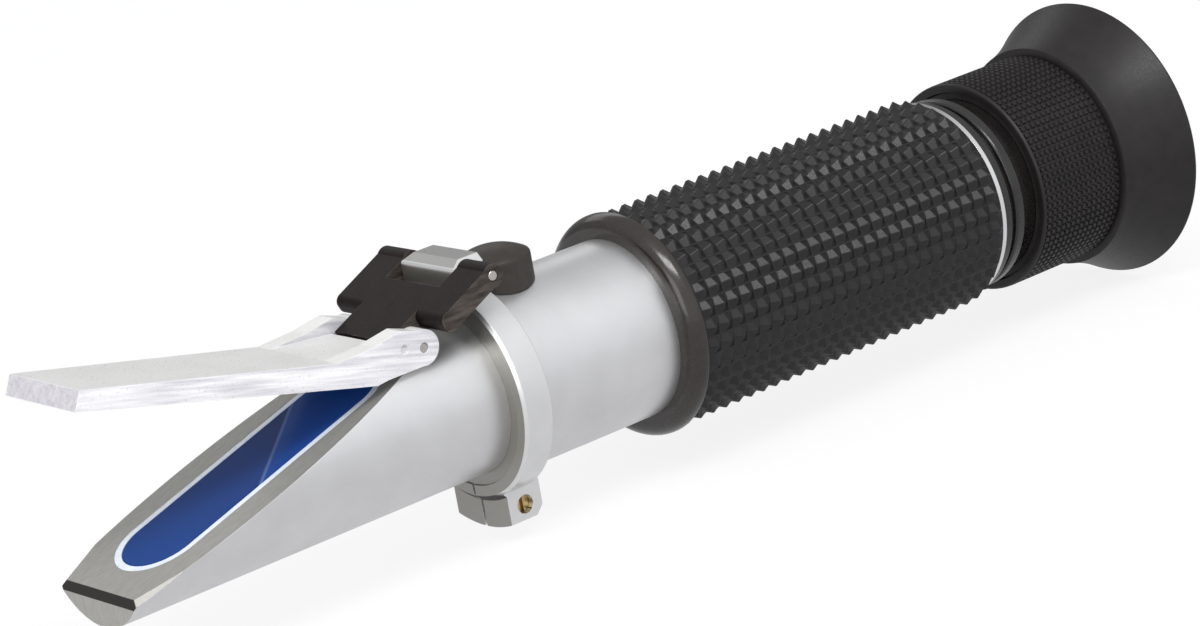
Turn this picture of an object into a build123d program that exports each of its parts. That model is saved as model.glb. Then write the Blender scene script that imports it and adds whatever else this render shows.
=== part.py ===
from build123d import *
from math import asin, atan2, cos, degrees, hypot, radians, sin, sqrt, tan
import os

# Handheld refractometer, millimetres.
# X runs along the optical axis from the prism tip (-X) to the eyecup (+X), +Z is up, and the
# origin is on the axis where the bare barrel enters the grip. Every piece is placed in the pose
# of an open daylight plate that rests with its ears just above the prism housing.

# Clearances
slip = 0.02          # pieces pushed into each other and left there
running = 0.04       # radial clearance of pins and screws that turn
guide_gap = 0.05     # radial clearance of tubes that slide in each other
side_gap = 0.15      # beside a lug, an ear or a stem
free_gap = 0.3       # between pieces that only pass each other

# Barrel
barrel_r = 12.25
barrel_wall = 1.5
bare_length = 27.1          # from the clamped front end to the grip
grip_length = 57.2          # from there to the rear end
barrel_front = -bare_length
barrel_rear = grip_length
bore_r = barrel_r - barrel_wall

# Prism housing, cut off by the slanted measuring face
nose_length = 56.8
spigot_length = 5.6
slope_deg = 17.57
slope_lead = 3.1            # round stretch between the clamp and the slanted face
tip_chamfer_x = 0.55
tip_chamfer_z = 1.15
facet_half_width = 7.5
facet_run = 5.9
facet_drop = 0.7
facet_side = 0.95
light_bore_wall = 4.73
light_bore_z = -1.5
light_bore_length = 36.5
housing_r = bore_r - slip
tip_x = barrel_front - nose_length
spigot_end = barrel_front + spigot_length
slope_top_x = barrel_front - slope_lead
light_bore_front = spigot_end - light_bore_length
light_bore_r = housing_r - light_bore_wall

# Prism and its cement, measured along the slope from the tip
window_start = 4.9
window_length = 40.6
window_half_width = 5.5
prism_depth = 4.0
prism_edge = 0.15
cement_width = 1.0
cement_depth = 1.2
cement_sink = 0.05

# Clamp ring with its two ears and the hinge lug
ring_wall = 1.85
ring_width = 4.3
ring_lip = 0.2              # how far the ring stands in front of the barrel
ring_chamfer = 0.4
ear_setback = 0.9
ear_width = 5.3
ear_half_width = 5.6
ear_reach = 4.1
ear_corner = 1.1
ear_slit = 0.5
clamp_hole_share = 1.2 / 4.1
clamp_screw_r = 1.2
clamp_screw_recess = 0.9
clamp_slot_width = 0.5
clamp_slot_depth = 0.7
lug_half_width = 5.5
lug_length = 4.8
lug_lead = 0.8              # how far the lug stands in front of the ring
lug_height = 4.15
lug_nose_run = 1.7
lug_nose_drop = 0.85
lug_nose_round = 0.8
lug_edge = 0.9
ring_r = barrel_r + ring_wall
turned_r = ring_r - ring_chamfer
ring_front = barrel_front - ring_lip
ring_rear = ring_front + ring_width
ear_front = ring_front + ear_setback
ear_rear = ear_front + ear_width
ear_r = ring_r + ear_reach
clamp_hole_z = -ring_r - clamp_hole_share * ear_reach
lug_front = ring_front - lug_lead
lug_rear = lug_front + lug_length
lug_flat_x = lug_front + lug_nose_run
lug_top = ring_r + lug_height
lug_nose_z = lug_top - lug_nose_drop
lug_bottom = ring_r - ear_setback

# Rear hinge axis in the lug, front hinge axis over the slanted face
rear_pin_r = 0.7
rear_pin_back = 1.9         # behind the lug's nose
rear_pin_down = 1.5         # below the lug's top
front_pin_r = 0.62
rear_pin_chamfer = 0.12
front_pin_chamfer = 0.1
front_pin_ahead = 10.45     # in front of the rear pin
front_pin_rise = 1.7123441     # above the slanted face
rear_pin_x = lug_front + rear_pin_back
rear_pin_z = lug_top - rear_pin_down
front_pin_x = rear_pin_x - front_pin_ahead

# Link between the two hinges
link_deg = 25.5
link_thickness = 2.7
link_half_width = 11.2
link_length = 9.5
link_end_r = 1.55
fork_depth = 4.35
stem_half_width = 5.6
stem_overlap = 2.0
stem_reach = 2.25
stem_eye_r = 1.35
stem_nose = 0.6
link_corner = 1.05

# Daylight plate, in its own plane: u runs from the front pin to the tip, v away from the prism
plate_deg = 14.06
plate_length = 49.7
plate_under = 4.25
plate_tip_thickness = 2.6
plate_root_thickness = 3.2
plate_root_u = 13.1
plate_tip_half_width = 7.8
plate_half_width = 8.7
plate_end_rake = 0.55
ear_shoulder_u = 7.7
ear_shoulder_v = 0.58
ear_crest_u = 3.6
ear_crest_v = 2.3
plate_ear_r = 2.3
ear_boss_r = 1.35
ear_boss_half_width = 7.6
heel_u = 5.35
heel_v = -3.65
floor_u = 7.0
web_top_v = 0.3
dimple_u = 3.0
dimple_r = 0.6
dimple_depth = 0.3

# Grip
collar_width = 2.4
collar_wall = 3.05
collar_round = 2.0
collar_edge = 0.3
grip_wall = 2.75
end_ring_width = 0.7
end_ring_wall = 1.95
collar_r = barrel_r + collar_wall
grip_r = barrel_r + grip_wall
end_ring_r = barrel_r + end_ring_wall

# Eyepiece tube
spigot_depth = 12.2
spigot_wall = 1.43
eye_flange_wall = 1.65
eye_flange_width = 1.7
eye_groove_depth = 0.9
eye_groove_width = 0.8
eye_bead_step = 0.2
eye_bead_width = 1.8
eye_bead_round = 0.45
eye_wall = 2.0
neck_length = 21.8
ocular_wall_gap = 0.2
guide_pin_back = 13.8
guide_pin_r = 0.75
eye_spigot_front = barrel_rear - spigot_depth
eye_spigot_bore = housing_r - spigot_wall
eye_flange_r = barrel_r + eye_flange_wall
eye_groove_r = eye_flange_r - eye_groove_depth
eye_bead_r = eye_flange_r - eye_bead_step
eye_rear = barrel_rear + neck_length
ocular_r = bore_r - ocular_wall_gap
guide_pin_x = barrel_rear + guide_pin_back

# Focus travel
focus_in = 2.0
focus_out = 4.0

# Ocular cell and its lenses
ocular_wall = 1.55
ocular_seat_wall = 0.75
ocular_seat_depth = 4.5
ocular_setback = 5.8
ocular_flange_step = 1.85
ocular_flange_width = 1.2
guide_pin_grip = 0.65
lens_ring_width = 1.2
lens_ring_wall = 1.4
eye_lens_edge = 1.4
eye_lens_bulge = 1.3
ocular_seat_r = ocular_r - ocular_seat_wall
ocular_front = barrel_rear + ocular_setback
ocular_flange_r = ocular_r + ocular_flange_step
guide_pin_tip = ocular_r - guide_pin_grip
lens_ring_r = ocular_seat_r - lens_ring_wall

# Focus sleeve, its retainer, and the rubber eyecup
sleeve_wall = 0.95
retainer_width = 0.7
retainer_wall = 1.63
shoulder_width = 1.0
shoulder_wall = 1.45
cup_setback = 7.4
cup_wall = 1.4
cup_round = 0.6
cup_lip_width = 1.2
cup_lip_step = 0.25
cup_body_length = 15.2
cup_length = 25.5
cup_neck_step = 0.9
cup_flare = 4.9             # how far the rim stands out over the knurled body
cup_flare_share = 4.7 / 10.3   # where the flare's middle lies along its length
cup_flare_depth = 0.35         # and how far out it is by then
cup_rim_wall = 1.5
cup_rim_edge = 0.4
cup_floor_step = 0.9
cup_hollow_dip = 0.5
cup_front = barrel_rear + cup_setback
cup_body_rear = cup_front + cup_body_length
cup_rear = cup_front + cup_length

# Calibration screw, its bush and cap
calibration_setback = 9.3
calibration_r = 1.5
calibration_head_r = 2.3
calibration_head_height = 1.2
calibration_slot = 0.6
calibration_travel = 0.25
bush_r = 3.4
bush_inside = 0.55          # ends this far inside the bore
bush_rise = 1.35
bush_chamfer = 0.3
cap_r = 4.9
cap_height = 3.35
cap_crown = 1.5
cap_edge = 0.6
calibration_x = barrel_front + calibration_setback
bush_bottom = bore_r - bush_inside
bush_top = barrel_r + bush_rise
cap_shoulder_z = barrel_r + cap_height

# Objective carriage, hung under the screw by its bimetal strip
carriage_gap = 0.55
carriage_length = 12.45
carriage_hole_wall = 4.0
carriage_top_cut = 2.3
carriage_bottom_cut = 1.6
strip_thickness = 0.5
strip_width = 3.8
strip_ledge = 0.5
strip_lift = 0.35
strip_pad_length = 3.4
strip_screw_r = 0.55
strip_screw_head_r = 0.95
strip_screw_head = 0.4
strip_screw_length = 1.0
strip_screw_gap = 0.2
strip_screw_spacing = 2.0
objective_wall = 3.3
objective_edge = 1.6
objective_bulge = 0.9
objective_setback = 1.0
objective_ring_width = 1.2
objective_ring_wall = 0.9
leaf_thickness = 0.3
leaf_width = 4.0
leaf_half_length = 4.3
stop_ring_width = 1.2
stop_ring_wall = 2.13
carriage_r = bore_r - carriage_gap
carriage_hole_r = carriage_r - carriage_hole_wall
carriage_flat_top = carriage_r - carriage_top_cut
carriage_flat_bottom = -carriage_r + carriage_bottom_cut
objective_r = carriage_r - objective_wall
objective_ring_r = objective_r - objective_ring_wall
stop_ring_r = housing_r - stop_ring_wall

# Scale disc ahead of the eyepiece
scale_wall = 1.53
scale_thickness = 1.5
scale_cell_length = 4.1
scale_lip = 1.0
scale_lip_step = 0.6
scale_ring_wall = 0.8
scale_ring_width = 1.2
scale_r = housing_r - scale_wall
scale_lip_r = scale_r - scale_lip_step
scale_ring_r = scale_r - scale_ring_wall

# Places worked out from the sizes above
slope = tan(radians(slope_deg))
slope_cos = cos(radians(slope_deg))


def slope_z(x):
    """Height of the measuring face above the optical axis at x."""
    return housing_r + slope * (x - slope_top_x)


edge_x = tip_x + tip_chamfer_x
front_pin_z = slope_z(front_pin_x) + front_pin_rise
slope_plane = Plane(
    origin=(edge_x, 0, slope_z(edge_x)),
    x_dir=(slope_cos, 0, sin(radians(slope_deg))),
    z_dir=(-sin(radians(slope_deg)), 0, slope_cos),
)
link_dir = (-cos(radians(link_deg)), 0, -sin(radians(link_deg)))
link_up = (-sin(radians(link_deg)), 0, cos(radians(link_deg)))
link_side = Plane(origin=(rear_pin_x, 0, rear_pin_z), x_dir=link_dir, z_dir=(0, 1, 0))
pin_dx = front_pin_x - rear_pin_x
pin_dz = front_pin_z - rear_pin_z
stem_pin_s = pin_dx * link_dir[0] + pin_dz * link_dir[2]
stem_pin_n = pin_dx * link_up[0] + pin_dz * link_up[2]
plate_side = Plane(
    origin=(front_pin_x, 0, front_pin_z),
    x_dir=(-cos(radians(plate_deg)), 0, sin(radians(plate_deg))),
    z_dir=(0, 1, 0),
)
plate_top_view = Plane(
    origin=(front_pin_x, 0, front_pin_z),
    x_dir=plate_side.x_dir,
    z_dir=(sin(radians(plate_deg)), 0, cos(radians(plate_deg))),
)
flange_front = barrel_rear + end_ring_width
bead_front = flange_front + eye_flange_width + eye_groove_width
neck_front = bead_front + eye_bead_width
ocular_bore = ocular_r + guide_gap
neck_r = ocular_bore + eye_wall
ocular_bore_front = ocular_front - focus_in - free_gap
sleeve_bore = neck_r + guide_gap
sleeve_r = sleeve_bore + sleeve_wall
retainer_front = eye_rear + focus_in + free_gap
flange_x = retainer_front + retainer_width + guide_gap
ocular_rear = flange_x + ocular_flange_width
shoulder_x = ocular_rear + guide_gap
sleeve_rear = shoulder_x + shoulder_width
sleeve_front = cup_front + cup_lip_width / 2
retainer_bore = sleeve_bore - slip - retainer_wall
shoulder_bore = sleeve_bore - shoulder_wall
cup_body_r = sleeve_r + cup_wall
cup_lip_r = cup_body_r + cup_lip_step
cup_neck_r = cup_body_r + cup_neck_step
cup_rim_r = cup_body_r + cup_flare
cup_rim_inner_r = cup_rim_r - cup_rim_wall
cup_floor_r = sleeve_r - cup_floor_step
cup_flare_x = cup_body_rear + cup_flare_share * (cup_rear - cup_body_rear)
cup_flare_r = cup_neck_r + cup_flare_depth * (cup_rim_r - cup_neck_r)
carriage_front = spigot_end + guide_gap
carriage_rear = carriage_front + carriage_length
strip_z = carriage_flat_top + strip_lift
strip_top = strip_z + strip_thickness
carriage_mid = (carriage_front + carriage_rear) / 2
ear_mid = (ear_front + ear_rear) / 2


def ring_about_axis(x0, x1, inner, outer):
    """A plain ring about the optical axis, from x0 to x1."""
    with BuildPart() as ring:
        with BuildSketch(Plane.YZ.offset(x0)):
            Circle(outer)
            Circle(inner, mode=Mode.SUBTRACT)
        extrude(amount=x1 - x0)
    return ring


def lens_about_axis(x_mid, radius, clear_r, edge, bulge):
    """A biconvex lens with a flat seat round its clear aperture, its rim's middle at x_mid."""
    sphere_r = (clear_r**2 + bulge**2) / (2 * bulge)
    with BuildPart() as lens:
        with BuildSketch(Plane.XZ):
            with BuildLine():
                front = x_mid - edge / 2
                back = x_mid + edge / 2
                Line((front - bulge, 0), (back + bulge, 0))
                RadiusArc((back + bulge, 0), (back, clear_r), -sphere_r)
                Polyline((back, clear_r), (back, radius), (front, radius), (front, clear_r))
                RadiusArc((front, clear_r), (front - bulge, 0), -sphere_r)
            make_face()
        revolve(axis=Axis.X)
    return lens


# Barrel: a turned tube, drilled on top for the calibration bush
with BuildPart() as barrel_tube:
    with BuildSketch(Plane.YZ.offset(barrel_front)):
        Circle(barrel_r)
        Circle(bore_r, mode=Mode.SUBTRACT)
    extrude(amount=barrel_rear - barrel_front)
    with BuildSketch(Plane.XY):
        with Locations((calibration_x, 0)):
            Circle(bush_r + slip)
    extrude(amount=barrel_r + bush_rise, mode=Mode.SUBTRACT)

# Prism housing: a round bar with the slanted face, the tip chamfers and the prism pocket
with BuildPart() as prism_housing:
    with BuildSketch(Plane.YZ.offset(tip_x)):
        Circle(housing_r)
    extrude(amount=spigot_end - tip_x)
    split(bisect_by=slope_plane, keep=Keep.BOTTOM)
    tip_cut = Plane(
        origin=(edge_x, 0, slope_z(edge_x)),
        x_dir=(0, 1, 0),
        z_dir=(-tip_chamfer_z, 0, tip_chamfer_x),
    )
    split(bisect_by=tip_cut, keep=Keep.BOTTOM)
    for side in (1, -1):
        along = Vector(facet_run, side * facet_run * 0.386, facet_run * slope)
        across = Vector(0, side * facet_side, -facet_drop)
        normal = along.cross(across)
        facet = Plane(
            origin=(edge_x, side * facet_half_width, slope_z(edge_x)),
            z_dir=normal if normal.Z > 0 else -normal,
        )
        split(bisect_by=facet, keep=Keep.BOTTOM)
    window_mid = window_start + window_length / 2
    with BuildSketch(slope_plane):
        with Locations((window_mid, 0)):
            SlotOverall(window_length + 2 * cement_width, 2 * (window_half_width + cement_width))
    extrude(amount=-cement_depth, mode=Mode.SUBTRACT)
    with BuildSketch(slope_plane):
        with Locations((window_mid, 0)):
            SlotOverall(window_length + 2 * slip, 2 * (window_half_width + slip))
    extrude(amount=-prism_depth - slip, mode=Mode.SUBTRACT)
    with BuildSketch(Plane.YZ.offset(spigot_end)):
        with Locations((0, light_bore_z)):
            Circle(light_bore_r)
    extrude(amount=light_bore_front - spigot_end, mode=Mode.SUBTRACT)

with BuildPart() as measuring_prism:
    with BuildSketch(slope_plane):
        with Locations((window_mid, 0)):
            SlotOverall(window_length, 2 * window_half_width)
    extrude(amount=-prism_depth)
    chamfer(measuring_prism.faces().sort_by(Axis.Z)[-1].edges(), prism_edge)

with BuildPart() as prism_cement:
    with BuildSketch(slope_plane.offset(-cement_sink)):
        with Locations((window_mid, 0)):
            SlotOverall(
                window_length + 2 * cement_width - 2 * slip,
                2 * (window_half_width + cement_width - slip),
            )
            SlotOverall(
                window_length + 2 * slip,
                2 * (window_half_width + slip),
                mode=Mode.SUBTRACT,
            )
    extrude(amount=-cement_depth + cement_sink + slip)

# Clamp ring: one turned blank with the slit ears below and the hinge lug on top
with BuildPart() as clamp_ring:
    with BuildSketch(Plane.YZ.offset(ring_front)):
        Circle(ring_r)
    extrude(amount=ring_rear - ring_front)
    with BuildSketch(Plane.YZ.offset(ring_front)):
        with BuildLine():
            half_drop = sqrt(ear_r**2 - ear_half_width**2)
            Polyline((-ear_half_width, -half_drop), (-ear_half_width, 0), (ear_half_width, 0))
            Line((ear_half_width, 0), (ear_half_width, -half_drop))
            ThreePointArc(
                (ear_half_width, -half_drop), (0, -ear_r), (-ear_half_width, -half_drop)
            )
        make_face()
    extrude(amount=ear_rear - ring_front)
    with BuildSketch(Plane.XZ):
        with BuildLine():
            Polyline(
                (ring_front, turned_r),
                (ear_front, turned_r + ear_front - ring_front),
                (ear_front, 2 * ear_r),
                (ring_front, 2 * ear_r),
                close=True,
            )
        make_face()
    revolve(axis=Axis.X, mode=Mode.SUBTRACT)
    low_edges = clamp_ring.edges().filter_by(GeomType.CIRCLE).filter_by_position(
        Axis.Z, -ear_r, -half_drop + 0.1
    )
    chamfer(low_edges.filter_by(lambda e: abs(e.center().X - ear_rear) < 0.1), ear_corner)
    with BuildSketch(Plane.XZ):
        with BuildLine():
            Polyline(
                (lug_front, lug_bottom),
                (lug_front, lug_nose_z),
                (lug_flat_x, lug_top),
                (lug_rear, lug_top),
                (lug_rear, bore_r),
                (ring_front, bore_r),
                (ring_front, lug_bottom),
                close=True,
            )
        make_face()
    extrude(amount=lug_half_width, both=True)
    nose = clamp_ring.edges().filter_by(Axis.Y).filter_by_position(
        Axis.Z, lug_nose_z - 0.01, lug_nose_z + 0.01
    )
    fillet(nose, lug_nose_round)
    lug_sides = clamp_ring.edges().filter_by(Axis.X).filter_by_position(
        Axis.Z, lug_top - 0.01, lug_top + 0.01
    )
    chamfer(lug_sides, lug_edge)
    with BuildSketch(Plane.YZ.offset(ring_front)):
        Circle(barrel_r + slip)
    extrude(amount=ear_rear - ring_front, mode=Mode.SUBTRACT)
    with BuildSketch(Plane.XY):
        with Locations((ear_mid, 0)):
            Rectangle(2 * ear_width, ear_slit)
    extrude(amount=-2 * ear_r, mode=Mode.SUBTRACT)
    with BuildSketch(Plane.XZ):
        with Locations((ear_mid, clamp_hole_z)):
            Circle(clamp_screw_r + running)
    extrude(amount=2 * ear_half_width, both=True, mode=Mode.SUBTRACT)
    with BuildSketch(Plane.XZ):
        with Locations((rear_pin_x, rear_pin_z)):
            Circle(rear_pin_r + running)
    extrude(amount=2 * lug_half_width, both=True, mode=Mode.SUBTRACT)

with BuildPart() as clamp_screw:
    screw_length = 2 * (ear_half_width - clamp_screw_recess)
    with BuildSketch(Plane.XZ):
        with Locations((ear_mid, clamp_hole_z)):
            Circle(clamp_screw_r)
    extrude(amount=screw_length / 2, both=True)
    with BuildSketch(Plane.XZ.offset(screw_length / 2)):
        with Locations((ear_mid, clamp_hole_z)):
            Rectangle(clamp_slot_width, 3 * clamp_screw_r)
    extrude(amount=-clamp_slot_depth, mode=Mode.SUBTRACT)

# Hinge pins
with BuildPart() as rear_hinge_pin:
    with BuildSketch(Plane.XZ):
        with Locations((rear_pin_x, rear_pin_z)):
            Circle(rear_pin_r)
    extrude(amount=link_half_width, both=True)
    chamfer(rear_hinge_pin.edges(), rear_pin_chamfer)

with BuildPart() as front_hinge_pin:
    with BuildSketch(Plane.XZ):
        with Locations((front_pin_x, front_pin_z)):
            Circle(front_pin_r)
    extrude(amount=plate_half_width - front_pin_chamfer, both=True)
    chamfer(front_hinge_pin.edges(), front_pin_chamfer)

# Link: a fork over the lug, a cross bar, and a stem whose eye carries the daylight plate
with BuildPart() as hinge_link:
    with BuildSketch(link_side):
        Circle(link_end_r)
        with Locations((link_length / 2, 0)):
            Rectangle(link_length, link_thickness)
    extrude(amount=link_half_width, both=True)
    outer_edges = hinge_link.edges().filter_by(Axis.Y)
    fillet(outer_edges.sort_by(Axis.X)[:2], link_corner)
    with BuildSketch(link_side):
        with Locations((fork_depth / 2 - link_end_r, 0)):
            Rectangle(fork_depth + 2 * link_end_r, 3 * link_thickness)
    extrude(amount=lug_half_width + side_gap, both=True, mode=Mode.SUBTRACT)
    with BuildSketch(link_side):
        with BuildLine():
            Polyline(
                (link_length - stem_overlap, link_thickness / 2),
                (stem_pin_s + stem_reach, link_thickness / 2),
                (stem_pin_s + stem_reach, stem_pin_n + stem_nose),
                (stem_pin_s + stem_eye_r * 0.8, stem_pin_n - stem_eye_r * 0.6),
                (stem_pin_s, stem_pin_n - stem_eye_r),
                (stem_pin_s - stem_eye_r * 0.8, stem_pin_n - stem_eye_r * 0.6),
                (link_length - stem_overlap, -link_thickness / 2),
                close=True,
            )
        make_face()
        with Locations((stem_pin_s, stem_pin_n)):
            Circle(stem_eye_r)
    extrude(amount=stem_half_width, both=True)
    with BuildSketch(link_side):
        Circle(rear_pin_r + running)
    extrude(amount=2 * link_half_width, both=True, mode=Mode.SUBTRACT)
    with BuildSketch(Plane.XZ):
        with Locations((front_pin_x, front_pin_z)):
            Circle(front_pin_r + running)
    extrude(amount=2 * stem_half_width, both=True, mode=Mode.SUBTRACT)

# Daylight plate: a clear slab whose root rises into two ears on the front pin
with BuildPart() as daylight_plate:
    slot_half = stem_half_width + side_gap
    stem_swing = hypot(stem_reach, link_thickness / 2 - stem_pin_n) + free_gap
    with BuildSketch(plate_side):
        with BuildLine():
            Polyline(
                (floor_u, -plate_under),
                (plate_length, -plate_under),
                (plate_length - plate_end_rake, plate_tip_thickness - plate_under),
                (plate_root_u, plate_root_thickness - plate_under),
                (ear_shoulder_u, ear_shoulder_v),
                (ear_crest_u, ear_crest_v),
                (-plate_ear_r * 0.55, plate_ear_r * 0.835),
                (0, 0),
                (-plate_ear_r * 0.45, -plate_ear_r * 0.893),
                (heel_u, heel_v),
                close=True,
            )
        make_face()
        Circle(plate_ear_r)
    extrude(amount=plate_half_width, both=True)
    with BuildSketch(plate_top_view):
        Polygon(
            (-2 * plate_ear_r, plate_half_width),
            (floor_u, plate_half_width),
            (plate_length, plate_tip_half_width),
            (plate_length, -plate_tip_half_width),
            (floor_u, -plate_half_width),
            (-2 * plate_ear_r, -plate_half_width),
            align=None,
        )
    extrude(amount=2 * plate_half_width, both=True, mode=Mode.INTERSECT)
    with BuildSketch(plate_side):
        Circle(stem_swing)
        with BuildLine():
            Polyline(
                (0, -stem_swing),
                (-2 * stem_swing, -stem_swing),
                (-2 * stem_swing, 2 * stem_swing),
                (plate_root_u, 2 * stem_swing),
                (plate_root_u, plate_root_thickness - plate_under),
                (stem_swing, web_top_v),
                (0, 0),
                close=True,
            )
        make_face()
    extrude(amount=slot_half, both=True, mode=Mode.SUBTRACT)
    with BuildSketch(plate_side):
        with BuildLine():
            Polyline(
                (0, 0),
                (-ear_boss_r, 0),
                (-ear_boss_r, 2 * plate_ear_r),
                (-2 * plate_ear_r, 2 * plate_ear_r),
                (-2 * plate_ear_r, 2 * heel_v),
                (heel_u, 2 * heel_v),
                (heel_u, heel_v),
                (0, -ear_boss_r),
                close=True,
            )
        make_face()
        Circle(ear_boss_r, mode=Mode.SUBTRACT)
    extrude(amount=ear_boss_half_width, both=True, mode=Mode.SUBTRACT)
    with BuildSketch(plate_side):
        Circle(front_pin_r + running)
    extrude(amount=2 * plate_half_width, both=True, mode=Mode.SUBTRACT)
    with BuildSketch(plate_side.offset(-plate_half_width)):
        with Locations((dimple_u, 0)):
            Circle(dimple_r)
    extrude(amount=dimple_depth, mode=Mode.SUBTRACT)

# Grip: glossy collar, rubber sleeve and bright end ring on the barrel
with BuildPart() as grip_collar:
    with BuildSketch(Plane.YZ):
        Circle(collar_r)
        Circle(barrel_r + slip, mode=Mode.SUBTRACT)
    extrude(amount=collar_width)
    rims = grip_collar.edges().filter_by(GeomType.CIRCLE)
    fillet(rims.group_by(Axis.X)[0].sort_by(SortBy.RADIUS)[-1], collar_round)
    rims = grip_collar.edges().filter_by(GeomType.CIRCLE)
    fillet(rims.group_by(Axis.X)[-1].sort_by(SortBy.RADIUS)[-1], collar_edge)

grip_sleeve = ring_about_axis(collar_width, barrel_rear, barrel_r + slip, grip_r)

grip_end_ring = ring_about_axis(barrel_rear, flange_front, housing_r + slip, end_ring_r)

# Eyepiece tube: a spigot in the barrel, a flange and bead outside, and the neck that guides
# the ocular cell inside and the focus sleeve outside
with BuildPart() as eyepiece_tube:
    with BuildSketch(Plane.XZ):
        with BuildLine():
            Polyline(
                (eye_spigot_front, eye_spigot_bore),
                (eye_spigot_front, housing_r),
                (flange_front, housing_r),
                (flange_front, eye_flange_r),
                (flange_front + eye_flange_width, eye_flange_r),
                (flange_front + eye_flange_width, eye_groove_r),
                (bead_front, eye_groove_r),
                (bead_front, eye_bead_r),
                (neck_front, eye_bead_r),
                (neck_front, neck_r),
                (eye_rear, neck_r),
                (eye_rear, ocular_bore),
                (ocular_bore_front, ocular_bore),
                (ocular_bore_front, eye_spigot_bore),
                close=True,
            )
        make_face()
    revolve(axis=Axis.X)
    round_edges = eyepiece_tube.edges().filter_by(GeomType.CIRCLE).filter_by(
        lambda e: e.radius > eye_groove_r + 0.1
    )
    fillet(round_edges, eye_bead_round)
    with BuildSketch(Plane.XY):
        with Locations((guide_pin_x, 0)):
            Circle(guide_pin_r + slip)
    extrude(amount=-2 * neck_r, mode=Mode.SUBTRACT)

with BuildPart() as guide_pin:
    with BuildSketch(Plane.XY.offset(-guide_pin_tip)):
        with Locations((guide_pin_x, 0)):
            Circle(guide_pin_r)
    extrude(amount=guide_pin_tip - neck_r + 2 * guide_gap)

# Ocular cell: slides in the neck, kept from turning by the guide pin in its slot
with BuildPart() as ocular_cell:
    with BuildSketch(Plane.XZ):
        with BuildLine():
            Polyline(
                (ocular_front, ocular_seat_r),
                (ocular_front, ocular_r),
                (flange_x, ocular_r),
                (flange_x, ocular_flange_r),
                (ocular_rear, ocular_flange_r),
                (ocular_rear, ocular_seat_r),
                (ocular_rear - ocular_seat_depth, ocular_seat_r),
                (ocular_rear - ocular_seat_depth, ocular_r - ocular_wall),
                (ocular_front + ocular_seat_depth, ocular_r - ocular_wall),
                (ocular_front + ocular_seat_depth, ocular_seat_r),
                close=True,
            )
        make_face()
    revolve(axis=Axis.X)
    slot_front = guide_pin_x - focus_out - guide_pin_r - side_gap
    slot_rear = guide_pin_x + focus_in + guide_pin_r + side_gap
    with BuildSketch(Plane.XY.offset(-guide_pin_tip + side_gap)):
        with Locations(((slot_front + slot_rear) / 2, 0)):
            SlotOverall(slot_rear - slot_front, 2 * (guide_pin_r + guide_gap))
    extrude(amount=-ocular_r, mode=Mode.SUBTRACT)

seat_lens_r = ocular_seat_r - slip
front_seat = ocular_front + ocular_seat_depth
rear_seat = ocular_rear - ocular_seat_depth
lens_seat_gap = eye_lens_edge / 2 + slip

field_lens = lens_about_axis(
    front_seat - lens_seat_gap, seat_lens_r, lens_ring_r, eye_lens_edge, eye_lens_bulge
)

eye_lens = lens_about_axis(
    rear_seat + lens_seat_gap, seat_lens_r, lens_ring_r, eye_lens_edge, eye_lens_bulge
)

ring_back = front_seat - eye_lens_edge - 2 * slip
field_lens_ring = ring_about_axis(
    ring_back - lens_ring_width, ring_back, lens_ring_r, seat_lens_r
)

ring_start = rear_seat + eye_lens_edge + 2 * slip
eye_lens_ring = ring_about_axis(
    ring_start, ring_start + lens_ring_width, lens_ring_r, seat_lens_r
)

# Focus sleeve: runs on the neck and carries the ocular cell's flange between two shoulders
with BuildPart() as focus_sleeve:
    with BuildSketch(Plane.XZ):
        with BuildLine():
            Polyline(
                (sleeve_front, sleeve_bore),
                (sleeve_front, sleeve_r),
                (sleeve_rear, sleeve_r),
                (sleeve_rear, shoulder_bore),
                (shoulder_x, shoulder_bore),
                (shoulder_x, sleeve_bore),
                close=True,
            )
        make_face()
    revolve(axis=Axis.X)

focus_retainer = ring_about_axis(
    retainer_front, retainer_front + retainer_width, retainer_bore, sleeve_bore - slip
)

# Eyecup: one rubber moulding, gripped at the front and flared to the eye at the back
with BuildPart() as eyecup:
    with BuildSketch(Plane.XZ):
        with BuildLine():
            Polyline(
                (sleeve_rear + slip, sleeve_r + slip),
                (sleeve_front - slip, sleeve_r + slip),
                (sleeve_front - slip, sleeve_bore + free_gap),
                (cup_front, sleeve_bore + free_gap),
                (cup_front, cup_lip_r - cup_round),
            )
            ThreePointArc(
                (cup_front, cup_lip_r - cup_round),
                (cup_front + cup_round * 0.3, cup_lip_r - cup_round * 0.3),
                (cup_front + cup_round, cup_lip_r),
            )
            Polyline(
                (cup_front + cup_round, cup_lip_r),
                (cup_front + cup_lip_width, cup_lip_r),
                (cup_front + cup_lip_width, cup_body_r),
                (cup_body_rear, cup_body_r),
                (cup_body_rear, cup_neck_r),
            )
            ThreePointArc(
                (cup_body_rear, cup_neck_r),
                (cup_flare_x, cup_flare_r),
                (cup_rear - cup_rim_edge, cup_rim_r),
            )
            Polyline(
                (cup_rear - cup_rim_edge, cup_rim_r),
                (cup_rear, cup_rim_r - cup_rim_edge),
                (cup_rear, cup_rim_inner_r),
            )
            ThreePointArc(
                (cup_rear, cup_rim_inner_r),
                ((cup_rear + sleeve_rear) / 2, (cup_rim_inner_r + cup_floor_r) / 2 - cup_hollow_dip),
                (sleeve_rear + slip, cup_floor_r),
            )
            Line((sleeve_rear + slip, cup_floor_r), (sleeve_rear + slip, sleeve_r + slip))
        make_face()
    revolve(axis=Axis.X)

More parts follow.
